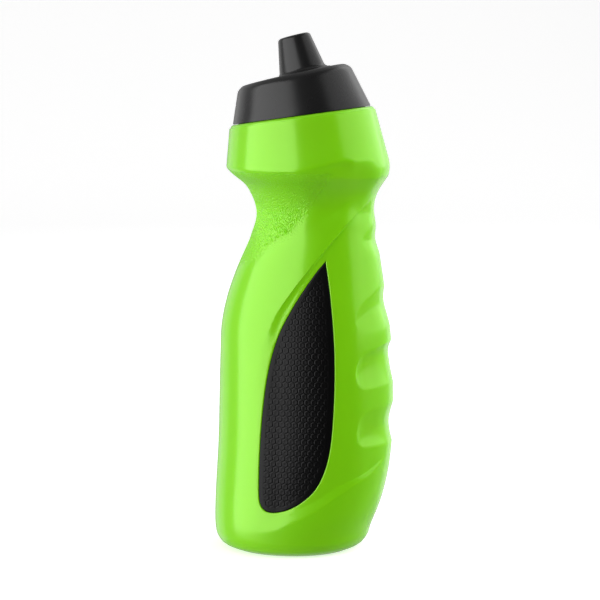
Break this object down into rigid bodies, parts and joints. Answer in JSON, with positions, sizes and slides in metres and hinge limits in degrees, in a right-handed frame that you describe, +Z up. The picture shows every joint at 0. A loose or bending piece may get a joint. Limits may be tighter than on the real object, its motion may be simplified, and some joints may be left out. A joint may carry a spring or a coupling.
{
  "type": "sports squeeze bottle",
  "caption": "Squeeze bottle with a leaning screw cap and drinking nozzle, a waist, finger grooves and rubber grip pads.",
  "frame": {"origin": "on the ground under the middle of the bottle's bounding box", "axes": "+Z up, +X towards the finger grooves, -X towards the smooth palm side, Y across the bottle"},
  "size_m": [0.0853, 0.078, 0.2444],
  "materials": {
    "body_plastic": "glossy bright green soft polyethylene, fine stipple at the waist",
    "grip_rubber": "matt black rubber with a honeycomb relief",
    "cap_plastic": "satin dark grey polypropylene",
    "seal_silicone": "matt translucent grey silicone"
  },
  "bodies": {
    "bottle": {"bottle_body": "body_plastic", "grip_pad_right": "grip_rubber", "grip_pad_left": "grip_rubber"},
    "seal": {"cap_gasket": "seal_silicone"},
    "cap": {"screw_cap": "cap_plastic", "spout_valve": "seal_silicone", "valve_retainer": "cap_plastic"}
  },
  "joints": [
    {"name": "cap_rise", "type": "slide", "parent": "bottle", "child": "seal", "axis": [-0.1392, 0, 0.9903], "range_m": [0, 0.018]},
    {"name": "cap_unscrew", "type": "hinge", "parent": "seal", "child": "cap", "pos_m": [-0.0009, 0, 0.2055], "axis": [-0.1392, 0, 0.9903], "range_deg": [0, 1080]}
  ],
  "couplings": [
    {"joint": "cap_unscrew", "follows": "cap_rise", "rad_per_m": 1047.2}
  ]
}
